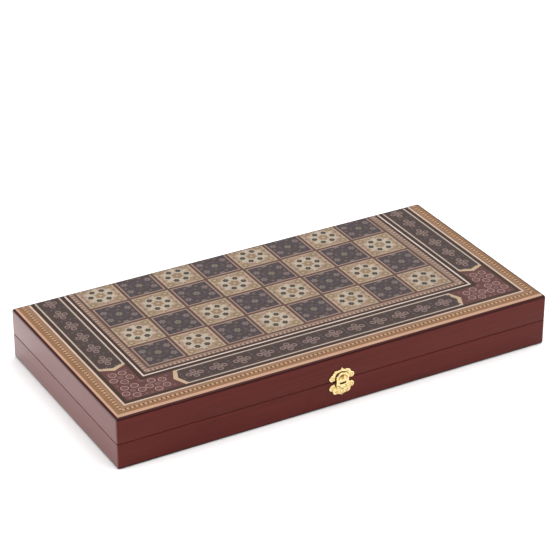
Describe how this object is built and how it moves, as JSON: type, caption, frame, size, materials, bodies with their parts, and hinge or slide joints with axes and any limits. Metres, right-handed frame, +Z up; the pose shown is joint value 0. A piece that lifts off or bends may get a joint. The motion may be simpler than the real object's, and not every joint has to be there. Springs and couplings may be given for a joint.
{
  "type": "backgammon set",
  "caption": "Folding wooden backgammon box with a printed chessboard outside, hinged trays, a brass hasp, and loose checkers and dice inside.",
  "frame": {"origin": "centre of the base's underside, with the box closed and lying flat", "axes": "+X along the hinge edge, +Y from the hasp to the hinges, +Z up through the lid"},
  "size_m": [0.48, 0.2463, 0.055],
  "materials": {
    "lacquered_wood": "gloss lacquer over red-brown stained wood",
    "printed_panel": "geometric inlay print under satin lacquer",
    "playing_field": "printed points under satin lacquer",
    "hinge_brass": "satin brass plate",
    "hinge_pin_steel": "drawn wire",
    "clasp_brass": "polished brass plate",
    "light_checker": "turned and lacquered",
    "dark_checker": "turned, stained and lacquered",
    "die_plastic": "polished"
  },
  "bodies": {
    "base": {"base_front_rail": "lacquered_wood", "base_back_rail": "lacquered_wood", "base_left_rail": "lacquered_wood", "base_right_rail": "lacquered_wood", "base_panel": "printed_panel", "base_playing_field": "playing_field", "base_hinge_leaf_1": "hinge_brass", "base_hinge_leaf_2": "hinge_brass", "hinge_pin_1": "hinge_pin_steel", "hinge_pin_2": "hinge_pin_steel", "base_clasp_plate": "clasp_brass", "base_clasp_nail_left": "clasp_brass", "base_clasp_nail_right": "clasp_brass", "hasp_pin": "clasp_brass"},
    "lid": {"lid_front_rail": "lacquered_wood", "lid_back_rail": "lacquered_wood", "lid_left_rail": "lacquered_wood", "lid_right_rail": "lacquered_wood", "lid_panel": "printed_panel", "lid_playing_field": "playing_field", "lid_hinge_leaf_1": "hinge_brass", "lid_hinge_leaf_2": "hinge_brass", "lid_clasp_plate": "clasp_brass", "lid_clasp_nail_left": "clasp_brass", "lid_clasp_nail_right": "clasp_brass"},
    "hasp": {"hasp": "clasp_brass"},
    "light_checker_01": {"light_checker_01": "light_checker"},
    "light_checker_02": {"light_checker_02": "light_checker"},
    "light_checker_03": {"light_checker_03": "light_checker"},
    "light_checker_04": {"light_checker_04": "light_checker"},
    "light_checker_05": {"light_checker_05": "light_checker"},
    "light_checker_06": {"light_checker_06": "light_checker"},
    "light_checker_07": {"light_checker_07": "light_checker"},
    "light_checker_08": {"light_checker_08": "light_checker"},
    "light_checker_09": {"light_checker_09": "light_checker"},
    "light_checker_10": {"light_checker_10": "light_checker"},
    "light_checker_11": {"light_checker_11": "light_checker"},
    "light_checker_12": {"light_checker_12": "light_checker"},
    "light_checker_13": {"light_checker_13": "light_checker"},
    "light_checker_14": {"light_checker_14": "light_checker"},
    "light_checker_15": {"light_checker_15": "light_checker"},
    "dark_checker_01": {"dark_checker_01": "dark_checker"},
    "dark_checker_02": {"dark_checker_02": "dark_checker"},
    "dark_checker_03": {"dark_checker_03": "dark_checker"},
    "dark_checker_04": {"dark_checker_04": "dark_checker"},
    "dark_checker_05": {"dark_checker_05": "dark_checker"},
    "dark_checker_06": {"dark_checker_06": "dark_checker"},
    "dark_checker_07": {"dark_checker_07": "dark_checker"},
    "dark_checker_08": {"dark_checker_08": "dark_checker"},
    "dark_checker_09": {"dark_checker_09": "dark_checker"},
    "dark_checker_10": {"dark_checker_10": "dark_checker"},
    "dark_checker_11": {"dark_checker_11": "dark_checker"},
    "dark_checker_12": {"dark_checker_12": "dark_checker"},
    "dark_checker_13": {"dark_checker_13": "dark_checker"},
    "dark_checker_14": {"dark_checker_14": "dark_checker"},
    "dark_checker_15": {"dark_checker_15": "dark_checker"},
    "die_1": {"die_1": "die_plastic"},
    "die_2": {"die_2": "die_plastic"}
  },
  "joints": [
    {"name": "lid_open", "type": "hinge", "parent": "base", "child": "lid", "pos_m": [0, 0.1203, 0.0275], "axis": [-1, 0, 0], "range_deg": [0, 180]},
    {"name": "hasp_swing", "type": "hinge", "parent": "base", "child": "hasp", "pos_m": [0, -0.1227, 0.0207], "axis": [1, 0, 0], "range_deg": [0, 165]},
    {"name": "lift_light_checker_01", "type": "slide", "parent": "base", "child": "light_checker_01", "axis": [0, 0, 1], "range_m": [0, 0.03]},
    {"name": "lift_light_checker_02", "type": "slide", "parent": "base", "child": "light_checker_02", "axis": [0, 0, 1], "range_m": [0, 0.03]},
    {"name": "lift_light_checker_03", "type": "slide", "parent": "base", "child": "light_checker_03", "axis": [0, 0, 1], "range_m": [0, 0.03]},
    {"name": "lift_light_checker_04", "type": "slide", "parent": "base", "child": "light_checker_04", "axis": [0, 0, 1], "range_m": [0, 0.03]},
    {"name": "lift_light_checker_05", "type": "slide", "parent": "base", "child": "light_checker_05", "axis": [0, 0, 1], "range_m": [0, 0.03]},
    {"name": "lift_light_checker_06", "type": "slide", "parent": "base", "child": "light_checker_06", "axis": [0, 0, 1], "range_m": [0, 0.03]},
    {"name": "lift_light_checker_07", "type": "slide", "parent": "base", "child": "light_checker_07", "axis": [0, 0, 1], "range_m": [0, 0.03]},
    {"name": "lift_light_checker_08", "type": "slide", "parent": "base", "child": "light_checker_08", "axis": [0, 0, 1], "range_m": [0, 0.03]},
    {"name": "lift_light_checker_09", "type": "slide", "parent": "base", "child": "light_checker_09", "axis": [0, 0, 1], "range_m": [0, 0.03]},
    {"name": "lift_light_checker_10", "type": "slide", "parent": "base", "child": "light_checker_10", "axis": [0, 0, 1], "range_m": [0, 0.03]},
    {"name": "lift_light_checker_11", "type": "slide", "parent": "base", "child": "light_checker_11", "axis": [0, 0, 1], "range_m": [0, 0.03]},
    {"name": "lift_light_checker_12", "type": "slide", "parent": "base", "child": "light_checker_12", "axis": [0, 0, 1], "range_m": [0, 0.03]},
    {"name": "lift_light_checker_13", "type": "slide", "parent": "base", "child": "light_checker_13", "axis": [0, 0, 1], "range_m": [0, 0.03]},
    {"name": "lift_light_checker_14", "type": "slide", "parent": "base", "child": "light_checker_14", "axis": [0, 0, 1], "range_m": [0, 0.03]},
    {"name": "lift_light_checker_15", "type": "slide", "parent": "base", "child": "light_checker_15", "axis": [0, 0, 1], "range_m": [0, 0.03]},
    {"name": "lift_dark_checker_01", "type": "slide", "parent": "base", "child": "dark_checker_01", "axis": [0, 0, 1], "range_m": [0, 0.03]},
    {"name": "lift_dark_checker_02", "type": "slide", "parent": "base", "child": "dark_checker_02", "axis": [0, 0, 1], "range_m": [0, 0.03]},
    {"name": "lift_dark_checker_03", "type": "slide", "parent": "base", "child": "dark_checker_03", "axis": [0, 0, 1], "range_m": [0, 0.03]},
    {"name": "lift_dark_checker_04", "type": "slide", "parent": "base", "child": "dark_checker_04", "axis": [0, 0, 1], "range_m": [0, 0.03]},
    {"name": "lift_dark_checker_05", "type": "slide", "parent": "base", "child": "dark_checker_05", "axis": [0, 0, 1], "range_m": [0, 0.03]},
    {"name": "lift_dark_checker_06", "type": "slide", "parent": "base", "child": "dark_checker_06", "axis": [0, 0, 1], "range_m": [0, 0.03]},
    {"name": "lift_dark_checker_07", "type": "slide", "parent": "base", "child": "dark_checker_07", "axis": [0, 0, 1], "range_m": [0, 0.03]},
    {"name": "lift_dark_checker_08", "type": "slide", "parent": "base", "child": "dark_checker_08", "axis": [0, 0, 1], "range_m": [0, 0.03]},
    {"name": "lift_dark_checker_09", "type": "slide", "parent": "base", "child": "dark_checker_09", "axis": [0, 0, 1], "range_m": [0, 0.03]},
    {"name": "lift_dark_checker_10", "type": "slide", "parent": "base", "child": "dark_checker_10", "axis": [0, 0, 1], "range_m": [0, 0.03]},
    {"name": "lift_dark_checker_11", "type": "slide", "parent": "base", "child": "dark_checker_11", "axis": [0, 0, 1], "range_m": [0, 0.03]},
    {"name": "lift_dark_checker_12", "type": "slide", "parent": "base", "child": "dark_checker_12", "axis": [0, 0, 1], "range_m": [0, 0.03]},
    {"name": "lift_dark_checker_13", "type": "slide", "parent": "base", "child": "dark_checker_13", "axis": [0, 0, 1], "range_m": [0, 0.03]},
    {"name": "lift_dark_checker_14", "type": "slide", "parent": "base", "child": "dark_checker_14", "axis": [0, 0, 1], "range_m": [0, 0.03]},
    {"name": "lift_dark_checker_15", "type": "slide", "parent": "base", "child": "dark_checker_15", "axis": [0, 0, 1], "range_m": [0, 0.03]},
    {"name": "lift_die_1", "type": "slide", "parent": "base", "child": "die_1", "axis": [0, 0, 1], "range_m": [0, 0.025]},
    {"name": "lift_die_2", "type": "slide", "parent": "base", "child": "die_2", "axis": [0, 0, 1], "range_m": [0, 0.025]}
  ]
}
